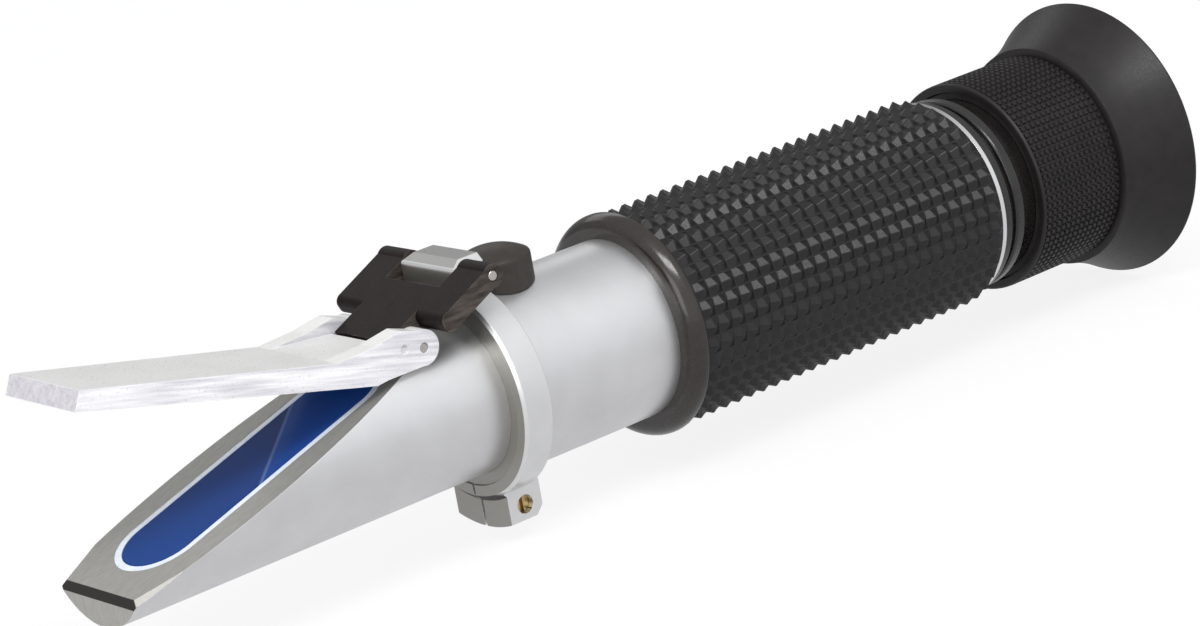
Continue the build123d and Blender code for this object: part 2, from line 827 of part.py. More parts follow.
# Calibration bush, screw and cap
with BuildPart() as calibration_bush:
    with BuildSketch(Plane.XY.offset(bush_bottom)):
        with Locations((calibration_x, 0)):
            Circle(bush_r)
            Circle(calibration_r + running, mode=Mode.SUBTRACT)
    extrude(amount=bush_top - bush_bottom)
    bush_rims = calibration_bush.edges().group_by(Axis.Z)[-1]
    chamfer(bush_rims.sort_by(SortBy.RADIUS)[-1], bush_chamfer)

with BuildPart() as calibration_screw:
    screw_head_z = bush_top + calibration_travel + guide_gap
    with BuildSketch(Plane.XY.offset(strip_top + slip)):
        with Locations((calibration_x, 0)):
            Circle(calibration_r)
    extrude(amount=screw_head_z - strip_top - slip)
    with BuildSketch(Plane.XY.offset(screw_head_z)):
        with Locations((calibration_x, 0)):
            Circle(calibration_head_r)
    extrude(amount=calibration_head_height)
    with BuildSketch(Plane.XY.offset(screw_head_z + calibration_head_height)):
        with Locations((calibration_x, 0)):
            Rectangle(3 * calibration_head_r, calibration_slot)
    extrude(amount=-calibration_slot, mode=Mode.SUBTRACT)

with BuildPart() as calibration_cap:
    cap_hollow = screw_head_z + calibration_head_height + calibration_travel + free_gap
    with BuildSketch(Plane.XZ):
        with BuildLine():
            Polyline(
                (calibration_x, bore_r),
                (calibration_x + cap_r, bore_r),
                (calibration_x + cap_r, cap_shoulder_z),
            )
            ThreePointArc(
                (calibration_x + cap_r, cap_shoulder_z),
                (calibration_x + cap_r / 2, cap_shoulder_z + cap_crown * 0.75),
                (calibration_x, cap_shoulder_z + cap_crown),
            )
            Line((calibration_x, cap_shoulder_z + cap_crown), (calibration_x, bore_r))
        make_face()
    revolve(axis=Axis((calibration_x, 0, 0), (0, 0, 1)))
    top_rim = calibration_cap.edges().filter_by_position(
        Axis.Z, cap_shoulder_z - 0.01, cap_shoulder_z + 0.01
    )
    fillet(top_rim, cap_edge)
    with BuildSketch(Plane.XY):
        with Locations((calibration_x, 0)):
            Circle(bush_r + guide_gap)
    extrude(amount=cap_hollow, mode=Mode.SUBTRACT)
    with BuildSketch(Plane.YZ.offset(calibration_x - 2 * cap_r)):
        Circle(barrel_r + guide_gap)
    extrude(amount=4 * cap_r, mode=Mode.SUBTRACT)

# Objective carriage between the housing and the stop ring
with BuildPart() as lens_carriage:
    with BuildSketch(Plane.YZ.offset(carriage_front)):
        Circle(carriage_r)
    extrude(amount=carriage_rear - carriage_front)
    with BuildSketch(Plane.XZ):
        with Locations((carriage_mid, (carriage_flat_top + carriage_flat_bottom) / 2)):
            Rectangle(
                2 * carriage_length, carriage_flat_top - carriage_flat_bottom
            )
    extrude(amount=2 * carriage_r, both=True, mode=Mode.INTERSECT)
    with BuildSketch(Plane.YZ.offset(carriage_front)):
        Circle(carriage_hole_r)
    extrude(amount=carriage_rear - carriage_front, mode=Mode.SUBTRACT)
    objective_seat = carriage_rear - objective_ring_width - objective_edge - objective_setback
    with BuildSketch(Plane.YZ.offset(objective_seat)):
        Circle(objective_r + slip)
    extrude(amount=carriage_rear - objective_seat, mode=Mode.SUBTRACT)
    with BuildSketch(Plane.XY.offset(carriage_flat_top)):
        with Locations((carriage_rear - strip_pad_length / 2, 0)):
            Rectangle(strip_pad_length, strip_width + 2 * strip_ledge)
    extrude(amount=strip_lift)
    with BuildSketch(Plane.XY.offset(strip_z)):
        with Locations((carriage_rear - strip_pad_length / 2, 0)):
            with GridLocations(1, strip_screw_spacing, 1, 2):
                Circle(strip_screw_r + slip)
    extrude(amount=-strip_screw_length, mode=Mode.SUBTRACT)

objective_lens = lens_about_axis(
    objective_seat + objective_edge / 2 + slip,
    objective_r,
    objective_ring_r,
    objective_edge,
    objective_bulge,
)

objective_back = objective_seat + objective_edge + 2 * slip
objective_ring = ring_about_axis(
    objective_back, objective_back + objective_ring_width, objective_ring_r, objective_r
)

with BuildPart() as bimetal_strip:
    with BuildSketch(Plane.XY.offset(strip_z)):
        with Locations((carriage_mid, 0)):
            Rectangle(carriage_rear - carriage_front - 2 * side_gap, strip_width)
        with Locations((carriage_rear - strip_pad_length / 2, 0)):
            with GridLocations(1, strip_screw_spacing, 1, 2):
                Circle(strip_screw_r + slip, mode=Mode.SUBTRACT)
    extrude(amount=strip_thickness)

with BuildPart() as strip_screws:
    with BuildSketch(Plane.XY.offset(strip_top)):
        with Locations((carriage_rear - strip_pad_length / 2, 0)):
            with GridLocations(1, strip_screw_spacing, 1, 2):
                Circle(strip_screw_head_r)
    extrude(amount=strip_screw_head)
    with BuildSketch(Plane.XY.offset(strip_top)):
        with Locations((carriage_rear - strip_pad_length / 2, 0)):
            with GridLocations(1, strip_screw_spacing, 1, 2):
                Circle(strip_screw_r)
    extrude(amount=-strip_thickness - strip_screw_length + strip_screw_gap)

# Leaf spring under the carriage, and the stop ring behind it
with BuildPart() as carriage_spring:
    leaf_top = carriage_flat_bottom - calibration_travel - side_gap
    leaf_foot = -sqrt(bore_r**2 - (leaf_width / 2) ** 2) + slip + leaf_thickness / 2
    with BuildSketch(Plane.XZ):
        with BuildLine():
            ThreePointArc(
                (carriage_mid - leaf_half_length, leaf_foot),
                (carriage_mid, leaf_top - leaf_thickness / 2),
                (carriage_mid + leaf_half_length, leaf_foot),
            )
        trace(line_width=leaf_thickness)
    extrude(amount=leaf_width / 2, both=True)

stop_front = carriage_rear + guide_gap
carriage_stop_ring = ring_about_axis(
    stop_front, stop_front + stop_ring_width, stop_ring_r, housing_r
)

# Scale disc in its cell, held against the eyepiece spigot
scale_cell_front = eye_spigot_front - scale_cell_length
with BuildPart() as scale_cell:
    with BuildSketch(Plane.YZ.offset(scale_cell_front)):
        Circle(housing_r)
        Circle(scale_lip_r, mode=Mode.SUBTRACT)
    extrude(amount=scale_cell_length)
    with BuildSketch(Plane.YZ.offset(scale_cell_front + scale_lip)):
        Circle(scale_r + slip)
    extrude(amount=scale_cell_length, mode=Mode.SUBTRACT)

scale_front = scale_cell_front + scale_lip
with BuildPart() as scale_disc:
    with BuildSketch(Plane.YZ.offset(scale_front)):
        Circle(scale_r)
    extrude(amount=scale_thickness)

scale_back = scale_front + scale_thickness
scale_ring = ring_about_axis(
    scale_back, scale_back + scale_ring_width, scale_ring_r, scale_r
)

nodes = {
    "barrel_tube": barrel_tube,
    "prism_housing": prism_housing,
    "measuring_prism": measuring_prism,
    "prism_cement": prism_cement,
    "clamp_ring": clamp_ring,
    "clamp_screw": clamp_screw,
    "rear_hinge_pin": rear_hinge_pin,
    "hinge_link": hinge_link,
    "front_hinge_pin": front_hinge_pin,
    "daylight_plate": daylight_plate,
    "grip_collar": grip_collar,
    "grip_sleeve": grip_sleeve,
    "grip_end_ring": grip_end_ring,
    "eyepiece_tube": eyepiece_tube,
    "guide_pin": guide_pin,
    "ocular_cell": ocular_cell,
    "field_lens": field_lens,
    "field_lens_ring": field_lens_ring,
    "eye_lens": eye_lens,
    "eye_lens_ring": eye_lens_ring,
    "focus_sleeve": focus_sleeve,
    "focus_retainer": focus_retainer,
    "eyecup": eyecup,
    "calibration_bush": calibration_bush,
    "calibration_screw": calibration_screw,
    "calibration_cap": calibration_cap,
    "lens_carriage": lens_carriage,
    "objective_lens": objective_lens,
    "objective_ring": objective_ring,
    "bimetal_strip": bimetal_strip,
    "strip_screws": strip_screws,
    "carriage_spring": carriage_spring,
    "carriage_stop_ring": carriage_stop_ring,
    "scale_cell": scale_cell,
    "scale_disc": scale_disc,
    "scale_ring": scale_ring,
}
os.makedirs("parts", exist_ok=True)
for label, piece in nodes.items():
    piece.part.label = label
    export_step(piece.part, f"parts/{label}.step")

# Angles of the closed plate, from the two pins and the slanted face
rear_height = (rear_pin_z - slope_z(rear_pin_x)) * slope_cos
pin_distance = hypot(pin_dx, pin_dz)
open_line = degrees(atan2(-pin_dz, -pin_dx))
shut_line = slope_deg + degrees(asin((rear_height - plate_under - guide_gap) / pin_distance))
link_rise = open_line - shut_line
print("link rises", round(link_rise, 3), "degrees to shut")
print("plate folds", round(plate_deg + slope_deg + link_rise, 3), "degrees on the link")
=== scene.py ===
from math import cos, pi, radians, sin

import bpy
from mathutils import Matrix, Vector


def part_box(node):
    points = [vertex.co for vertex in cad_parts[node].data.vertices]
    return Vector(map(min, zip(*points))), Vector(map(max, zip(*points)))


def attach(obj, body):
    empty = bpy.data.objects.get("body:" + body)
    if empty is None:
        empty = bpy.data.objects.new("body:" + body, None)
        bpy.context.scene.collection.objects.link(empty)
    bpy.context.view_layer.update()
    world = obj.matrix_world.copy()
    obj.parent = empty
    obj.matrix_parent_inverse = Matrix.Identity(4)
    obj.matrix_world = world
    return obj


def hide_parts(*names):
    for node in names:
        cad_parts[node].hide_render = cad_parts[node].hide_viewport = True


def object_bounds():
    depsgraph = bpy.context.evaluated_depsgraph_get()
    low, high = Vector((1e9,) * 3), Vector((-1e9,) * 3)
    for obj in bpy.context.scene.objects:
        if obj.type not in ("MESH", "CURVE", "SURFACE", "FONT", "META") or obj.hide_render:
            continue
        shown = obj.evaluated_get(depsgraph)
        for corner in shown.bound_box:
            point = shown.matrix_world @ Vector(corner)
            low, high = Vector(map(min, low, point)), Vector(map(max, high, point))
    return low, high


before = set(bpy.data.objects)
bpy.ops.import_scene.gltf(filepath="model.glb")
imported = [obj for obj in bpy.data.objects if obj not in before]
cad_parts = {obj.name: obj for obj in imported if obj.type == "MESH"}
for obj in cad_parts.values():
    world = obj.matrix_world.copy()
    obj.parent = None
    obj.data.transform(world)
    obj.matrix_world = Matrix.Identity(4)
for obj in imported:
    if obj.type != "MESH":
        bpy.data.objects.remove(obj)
cad_box = [list(corner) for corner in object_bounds()]

MM = 0.001
IMAGE_WIDTH = 1200

# Camera, from the photograph's perspective
CAMERA_PLACE = Vector((-311.79, -412.284, 150.61)) * MM
CAMERA_AZIMUTH = -36.8426
CAMERA_ELEVATION = 15.9846
CAMERA_ROLL = -10.1206
FOCAL_PIXELS = 4115.76
SENSOR = 36.0
SHIFT_X = 0.0019            # principal point, in image widths from the middle
SHIFT_Y = 0.0003
CLIP_START = 0.01
CLIP_END = 50

# Stage and lamps, in metres
FLOOR_SIZE = 12
FLOOR_GAP = 0.0002          # under the object's lowest point
FLOOR_GLOW = 0.85           # share of plain white in the floor where it is seen
SKY_SIDE = Vector((-0.45, -0.80, 0.40)).normalized()
LAMPS = {                   # place, width, height, watts
    "key": ((-0.25, -0.45, 0.75), 0.7, 0.25, 5.0),
    "side": ((-0.9, -0.35, 0.25), 0.5, 0.5, 1.6),
    "back": ((0.2, 0.8, 0.5), 0.9, 0.3, 0.8),
}

# The grip and the eyecup, modelled here in place of plain solids, in millimetres
GRIP_LAND = 0.80            # smooth edge in front of the first row of pyramids
GRIP_LAND_SLOPE = 0.05      # from the end of that edge to the first groove
GRIP_OVER_TUBE = 0.02
GRIP_END_GAP = 0.02
GRIP_ROWS = 24
GRIP_COLUMNS = 36
GRIP_TURN = 7.2             # degrees from the -Y side to the first groove
GRIP_COLUMN_WIDTH = 2.5     # about one column's width round the grip
GRIP_GROOVE_R = 14.2
GRIP_GROOVE_WIDTH = 0.22
GRIP_TOP_WIDTH = 0.14
GRIP_SHARP_DEG = 12

CUP_OVER_SLEEVE = 0.03
CUP_ROWS = 15
CUP_COLUMNS = 90
CUP_BAND_START = 0.5        # knurled band, from the cup's front end
CUP_BAND_END = 15.1
CUP_BAND_GAP = 0.02
CUP_BODY_R = 14.68          # in the knurl's grooves
CUP_GROOVE_DEPTH = 0.32
CUP_FOOT = 0.14             # from the middle of a groove to its edge
CUP_TOP = 0.26              # and to the flat top beside it
CUP_FOOT_SHARE = 0.13       # the same round the cup, as shares of a column
CUP_TOP_SHARE = 0.25
CUP_BORE_EDGE = (0.6, 0.1)  # slanted front edge of the bore, along and out
CUP_FACE_DROP = 0.2         # from the front face to the body's radius
CUP_EDGE_R = 0.4            # rounding of the front edge
CUP_EDGE_DROP = 0.1
CUP_STEP = ((0.10, CUP_BODY_R), (0.14, 15.6), (0.3, 15.9))  # behind the band: along, radius
CUP_FLARE_STEPS = 14
CUP_FLARE_BEND = (84.3, 16.8)
CUP_FLARE_END = (-0.45, -0.02)  # from the rim's rear and its radius, as the next two
CUP_LIP = (-0.4, -0.45)
CUP_INSIDE_START = (-0.5, -1.4)
CUP_LIP_STEPS = 5
CUP_LIP_SIZE = (0.4, 0.43)
CUP_INSIDE_STEPS = 10
CUP_INSIDE_BEND = (86.5, 14.6)
CUP_INSIDE_END_R = 12.7
CUP_INSIDE_GAP = 0.04       # behind the focus sleeve
CUP_SHARP_DEG = 30

# Directions, and places in millimetres, that the looks depend on
FORWARD = (-1, 0, 0)
SLOPE_DEG = 17.57
PLATE_DEG = 14.06
CHAMFER = Vector((-1.15, 0, 0.55)).normalized()
FACET = (-0.436, 0.534, 0.725)
LUG_NOSE = (-0.447, 0, 0.894)
PLATE_END = (-0.97, 0, 0.24)
PRISM_LINE = (0.628, -0.778, 0)
PRISM_LINE_AT = -34.5
PRISM_LINE_HALF = (0.05, 0.35)  # its full and its faded half width
PRISM_FADE_X = (-80, -48)
CONE_COSINE = 0.707         # between the clamp's cone and the front
CONE_TOLERANCE = 0.05
# Painted shade: the cone is painted near black below this height
CONE_Z = (-13.2, -12.4)     # the cone's dark part is below this
RINGS_PER_MM = 0.45         # turned rings of the tip face
RING_HEIGHT = 4.0           # in units of the grain's depth

# Colours
ALUMINIUM = (0.72, 0.72, 0.725), (0.79, 0.79, 0.795)
CLAMP_ALUMINIUM = (0.72, 0.72, 0.715), (0.79, 0.79, 0.785)
# Painted shade: the darker khaki colour given to faces that face forward
FRONT_FACE_SHADE = (0.34, 0.33, 0.30)

# Surfaces
NOISE_ROUGHNESS = 0.55
METAL_CLOUD = 0.12          # features a millimetre
METAL_GRAIN = 6.0
GRAIN_DEPTH = 0.004         # millimetres
COAT_ROUGHNESS = 0.12
CLEAR_IOR = 1.49
EDGE_COSINES = (0.86, 0.985)    # between the plain normal and the one of a rounded edge


def node_low_high(node):
    """A node's lowest and highest corner in millimetres."""
    low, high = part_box(node)
    return Vector(low) / MM, Vector(high) / MM


# Node helpers

def feed(tree, target, value):
    """Link an input to a socket, or set its own value."""
    if isinstance(value, bpy.types.NodeSocket):
        tree.links.new(value, target)
    else:
        target.default_value = value


def add(tree, kind, inputs=None, **settings):
    """A new node with its settings and its inputs, which are given by name or number."""
    node = tree.nodes.new(kind)
    for key, value in settings.items():
        setattr(node, key, value)
    for key, value in (inputs or {}).items():
        feed(tree, node.inputs[key], value)
    return node


def new_material(name):
    """A material, its node tree and its principled shader."""
    mat = bpy.data.materials.new(name)
    mat.use_nodes = True
    return mat, mat.node_tree, mat.node_tree.nodes["Principled BSDF"]


def calculated(tree, operation, *values):
    """The result of a math node."""
    return add(tree, "ShaderNodeMath", dict(enumerate(values)), operation=operation).outputs["Value"]


def dotted(tree, first, second):
    """The dot product of two vectors."""
    node = add(tree, "ShaderNodeVectorMath", {0: first, 1: second}, operation="DOT_PRODUCT")
    return node.outputs["Value"]


def object_point(tree, stretch=(1, 1, 1)):
    """Object coordinates, stretched along the axes."""
    coordinates = add(tree, "ShaderNodeTexCoord").outputs["Object"]
    return add(tree, "ShaderNodeMapping", {"Vector": coordinates, "Scale": stretch}).outputs["Vector"]


def part_of_point(tree, point, axis):
    """One coordinate of a point."""
    return add(tree, "ShaderNodeSeparateXYZ", {"Vector": point}).outputs[axis]


def noise(tree, point, per_mm, detail=3.0):
    """A noise field whose features are 1 / per_mm millimetres wide."""
    inputs = {"Vector": point, "Scale": per_mm / MM, "Detail": detail, "Roughness": NOISE_ROUGHNESS}
    return add(tree, "ShaderNodeTexNoise", inputs).outputs["Fac"]


def ranged(tree, value, low, high, from_low=0.3, from_high=0.7):
    """The value stretched from one range to another. The usual first range is a noise field's."""
    inputs = {"Value": value, "From Min": from_low, "From Max": from_high, "To Min": low, "To Max": high}
    return add(tree, "ShaderNodeMapRange", inputs).outputs["Result"]


def mixed(tree, factor, first, second):
    """A colour between two colours or colour sockets."""
    node = add(tree, "ShaderNodeMix", {"Factor": factor}, data_type="RGBA")
    for name, colour in (("A", first), ("B", second)):
        target = next(s for s in node.inputs if s.name == name and s.type == "RGBA")
        feed(tree, target, (*colour, 1) if isinstance(colour, tuple) else colour)
    return next(s for s in node.outputs if s.type == "RGBA")


def two_tone(tree, field, dark, light):
    """Two shades that follow a noise field."""
    return mixed(tree, ranged(tree, field, 0, 1), dark, light)


def cloudy(tree, point, dark, light):
    """Two shades of metal in faint, wide clouds."""
    return two_tone(tree, noise(tree, point, METAL_CLOUD, 4.0), dark, light)


def metal_grain(tree, point):
    """The fine grain of blasted metal."""
    return noise(tree, point, METAL_GRAIN, 2.0)


def along(tree, direction):
    """How far the surface's own normal points along a direction."""
    return dotted(tree, add(tree, "ShaderNodeTexCoord").outputs["Normal"], direction)


def facing(tree, direction, from_cos, full_cos):
    """1 where the surface faces a direction and 0 elsewhere, blended between two cosines."""
    return ranged(tree, along(tree, direction), 0, 1, from_cos, full_cos)


def near_edge(tree, radius_mm):
    """How close the surface is to one of the piece's edges, from 0 to 1."""
    rounded = add(tree, "ShaderNodeBevel", {"Radius": radius_mm * MM}, samples=6)
    plain = add(tree, "ShaderNodeNewGeometry")
    cosine = dotted(tree, rounded.outputs["Normal"], plain.outputs["Normal"])
    return ranged(tree, cosine, 1, 0, *EDGE_COSINES)


def coloured(tree, shader, colour):
    """The shader's base colour."""
    feed(tree, shader.inputs["Base Color"], colour)


def roughened(tree, shader, field, low, high):
    """Roughness that follows a noise field."""
    feed(tree, shader.inputs["Roughness"], ranged(tree, field, low, high))


def bumped(tree, shader, height, depth_mm, edge_mm):
    """Bump of a given depth on the shader's normal, over softened edges."""
    edge = add(tree, "ShaderNodeBevel", {"Radius": edge_mm * MM}, samples=4)
    inputs = {"Normal": edge.outputs["Normal"], "Height": height, "Strength": 1.0, "Distance": depth_mm * MM}
    bump = add(tree, "ShaderNodeBump", inputs)
    feed(tree, shader.inputs["Normal"], bump.outputs["Normal"])


# Materials

def satin_metal(name, dark, light, rough, metallic=1.0, edge_mm=0.1, turned=False, front=None):
    """Blasted or turned metal: fine grain, faint cloudiness, softened edges."""
    mat, tree, shader = new_material(name)
    point = object_point(tree)
    colour = cloudy(tree, point, dark, light)
    # painted shade: faces that face forward take the given darker colour
    if front:
        colour = mixed(tree, facing(tree, FORWARD, 0.95, 0.99), colour, front)
    coloured(tree, shader, colour)
    shader.inputs["Metallic"].default_value = metallic
    fine = metal_grain(tree, object_point(tree, (1, 0.04, 0.04)) if turned else point)
    roughened(tree, shader, fine, rough - 0.05, rough + 0.07)
    bumped(tree, shader, fine, GRAIN_DEPTH, edge_mm)
    return mat


def housing_metal():
    """Satin round sides, a milled grey slope and facets, a painted dark reflection on the tip chamfer and a
    turned tip face.
    """
    mat, tree, shader = new_material("machined_housing")
    point = object_point(tree)
    milled = noise(tree, object_point(tree, (0.2, 1, 0.2)), 3.0, 2.0)
    on_slope = facing(tree, (-sin(radians(SLOPE_DEG)), 0, cos(radians(SLOPE_DEG))), 0.99, 0.998)
    on_tip = facing(tree, FORWARD, 0.97, 0.99)
    chamfer_dark_reflection = facing(tree, CHAMFER, 0.99, 0.998)
    slope = two_tone(tree, milled, (0.245, 0.24, 0.22), (0.295, 0.29, 0.27))
    tip = two_tone(tree, milled, (0.48, 0.47, 0.43), (0.56, 0.55, 0.51))
    colour = mixed(tree, on_slope, cloudy(tree, point, *ALUMINIUM), slope)
    colour = mixed(tree, on_tip, colour, tip)
    for hand in (1, -1):
        on_facet = facing(tree, (FACET[0], hand * FACET[1], FACET[2]), 0.985, 0.995)
        colour = mixed(tree, on_facet, colour, (0.36, 0.35, 0.33))
    # Painted reflection: the tip chamfer is painted near black, standing for the dark surroundings it
    # mirrors
    coloured(tree, shader, mixed(tree, chamfer_dark_reflection, colour, (0.020, 0.017, 0.014)))
    dull = calculated(tree, "MAXIMUM", on_slope, chamfer_dark_reflection)
    feed(tree, shader.inputs["Metallic"], ranged(tree, dull, 0.95, 0.35, 0, 1))
    fine = metal_grain(tree, point)
    roughened(tree, shader, fine, 0.34, 0.46)
    ring_inputs = {"Vector": object_point(tree, (0, 1, 1)), "Scale": RINGS_PER_MM / MM}
    rings = add(tree, "ShaderNodeTexWave", ring_inputs, wave_type="RINGS", rings_direction="SPHERICAL")
    turned = calculated(tree, "MULTIPLY", rings.outputs["Fac"], on_tip)
    height = calculated(tree, "MULTIPLY_ADD", turned, RING_HEIGHT, fine)
    bumped(tree, shader, height, GRAIN_DEPTH, 0.08)
    return mat


def clamp_metal():
    """The clamp ring: satin body, front faces in khaki painted shade, tops and lug nose in greyer painted
    shade, and painted shade on the lower part of the turned cone over the ears.
    """
    mat, tree, shader = new_material("clamp_metal")
    point = object_point(tree)
    forward = along(tree, FORWARD)
    # Painted shade: faces that face forward are painted khaki
    shaded_front = ranged(tree, forward, 0, 1, 0.95, 0.99)
    colour = mixed(tree, shaded_front, cloudy(tree, point, *CLAMP_ALUMINIUM), FRONT_FACE_SHADE)
    # Painted shade: faces that face up, and the lug's nose, are painted greyer than the body
    colour = mixed(tree, facing(tree, (0, 0, 1), 0.96, 0.99), colour, (0.36, 0.36, 0.35))
    colour = mixed(tree, facing(tree, LUG_NOSE, 0.97, 0.99), colour, (0.40, 0.40, 0.385))
    # Painted shade: the lower part of the cone over the ears is painted near black
    low_down = ranged(tree, part_of_point(tree, point, "Z"), 1, 0, CONE_Z[0] * MM, CONE_Z[1] * MM)
    slanted = calculated(tree, "COMPARE", forward, CONE_COSINE, CONE_TOLERANCE)
    shaded_cone = calculated(tree, "MULTIPLY", low_down, slanted)
    coloured(tree, shader, mixed(tree, shaded_cone, colour, (0.035, 0.032, 0.026)))
    shader.inputs["Metallic"].default_value = 0.85
    fine = metal_grain(tree, point)
    roughened(tree, shader, fine, 0.30, 0.42)
    bumped(tree, shader, fine, GRAIN_DEPTH, 0.12)
    return mat


def moulded(name, dark, light, rough, depth_mm, grain, coat=0.0, edge_mm=0.1, gloss=0.5):
    """Rubber or plastic: two shades, a grained skin and an optional glossy coat."""
    mat, tree, shader = new_material(name)
    point = object_point(tree)
    coloured(tree, shader, two_tone(tree, noise(tree, point, 0.4, 5.0), dark, light))
    fine = noise(tree, point, grain)
    roughened(tree, shader, fine, rough - 0.06, rough + 0.08)
    shader.inputs["Specular IOR Level"].default_value = gloss
    shader.inputs["Coat Weight"].default_value = coat
    shader.inputs["Coat Roughness"].default_value = COAT_ROUGHNESS
    bumped(tree, shader, fine, depth_mm, edge_mm)
    return mat


def prism_blue():
    """Polished prism: deep blue, with the pale line where two of its inner faces meet."""
    mat, tree, shader = new_material("prism_blue")
    point = object_point(tree)
    fade = ranged(tree, part_of_point(tree, point, "X"), 0, 1, PRISM_FADE_X[0] * MM, PRISM_FADE_X[1] * MM)
    colour = mixed(tree, fade, (0.010, 0.048, 0.21), (0.010, 0.026, 0.115))
    across = dotted(tree, point, PRISM_LINE)
    behind = ranged(tree, across, 0, 1, PRISM_LINE_AT * MM, (PRISM_LINE_AT + 0.1) * MM)
    colour = mixed(tree, behind, colour, (0.010, 0.048, 0.23))
    distance = calculated(tree, "ABSOLUTE", calculated(tree, "SUBTRACT", across, PRISM_LINE_AT * MM))
    on_line = ranged(tree, distance, 0.5, 0, PRISM_LINE_HALF[0] * MM, PRISM_LINE_HALF[1] * MM)
    colour = mixed(tree, on_line, colour, (0.16, 0.24, 0.42))
    haze = noise(tree, point, 0.08)
    coloured(tree, shader, mixed(tree, ranged(tree, haze, 0, 0.35), colour, (0.010, 0.035, 0.15)))
    roughened(tree, shader, haze, 0.16, 0.24)
    shader.inputs["Specular IOR Level"].default_value = 0.02
    return mat


def lens_glass():
    """Clear glass, barely frosted by a fine grain."""
    mat, tree, shader = new_material("lens_glass")
    point = object_point(tree)
    wide = noise(tree, point, 0.15)
    tint = (0.90, 0.95, 0.93)
    coloured(tree, shader, two_tone(tree, wide, tint, tuple(c * 0.96 for c in tint)))
    roughened(tree, shader, noise(tree, point, 3.0), 0.02, 0.05)
    shader.inputs["Transmission Weight"].default_value = 0.92
    shader.inputs["IOR"].default_value = CLEAR_IOR
    bumped(tree, shader, wide, 0.02, 0.12)
    return mat


def link_black():
    """Matte black paint with a painted highlight in patches along its edges, and greyer on its milled sides.
    """
    mat, tree, shader = new_material("link_black")
    point = object_point(tree)
    colour = two_tone(tree, noise(tree, point, 0.4, 5.0), (0.006, 0.003, 0.003), (0.010, 0.006, 0.006))
    streak = noise(tree, object_point(tree, (0.15, 1, 1)), 2.0)
    side = two_tone(tree, streak, (0.020, 0.015, 0.013), (0.075, 0.062, 0.055))
    colour = mixed(tree, facing(tree, (0, -1, 0), 0.95, 0.99), colour, side)
    # Painted highlight: patches along the edges are painted light grey
    edge_highlight_patches = ranged(tree, noise(tree, point, 0.9), 0.05, 0.6, 0.4, 0.65)
    edge = calculated(tree, "MULTIPLY", near_edge(tree, 0.14), edge_highlight_patches)
    coloured(tree, shader, mixed(tree, edge, colour, (0.16, 0.14, 0.13)))
    shader.inputs["Specular IOR Level"].default_value = 0.14
    fine = noise(tree, point, 5.0)
    roughened(tree, shader, fine, 0.40, 0.54)
    bumped(tree, shader, fine, GRAIN_DEPTH, 0.16)
    return mat


def frosted_plate():
    """Clear plastic, frosted white on its faces, streaked on its sides, with a painted highlight along its
    edges.
    """
    mat, tree, shader = new_material("frosted_plate")
    point = object_point(tree)
    colour = two_tone(tree, noise(tree, point, 0.15), (0.74, 0.735, 0.715), (0.80, 0.795, 0.78))
    lengthwise_inputs = {
        "Vector": add(tree, "ShaderNodeTexCoord").outputs["Object"],
        "Rotation": (0, radians(PLATE_DEG), 0),
        "Scale": (18, 1, 1),
    }
    lengthwise = add(tree, "ShaderNodeMapping", lengthwise_inputs, vector_type="TEXTURE")
    streak = noise(tree, lengthwise.outputs["Vector"], 1.6, 4.0)
    side = mixed(tree, ranged(tree, streak, 0, 1, 0.35, 0.65), (0.55, 0.54, 0.58), (0.84, 0.83, 0.85))
    mottle = noise(tree, point, 1.3, 4.0)
    end = mixed(tree, ranged(tree, mottle, 0, 1, 0.35, 0.65), (0.50, 0.48, 0.52), (0.66, 0.64, 0.68))
    sideways = calculated(tree, "ABSOLUTE", along(tree, (0, 1, 0)))
    colour = mixed(tree, ranged(tree, sideways, 0, 1, 0.9, 0.97), colour, side)
    colour = mixed(tree, facing(tree, PLATE_END, 0.93, 0.98), colour, end)
    # Painted highlight: the edges are painted near white
    edge = ranged(tree, near_edge(tree, 0.22), 0, 0.8, 0, 1)
    coloured(tree, shader, mixed(tree, edge, colour, (0.95, 0.95, 0.96)))
    shader.inputs["Transmission Weight"].default_value = 0.18
    shader.inputs["IOR"].default_value = CLEAR_IOR
    roughened(tree, shader, noise(tree, point, 3.0), 0.26, 0.40)
    bumped(tree, shader, streak, 0.02, 0.14)
    return mat


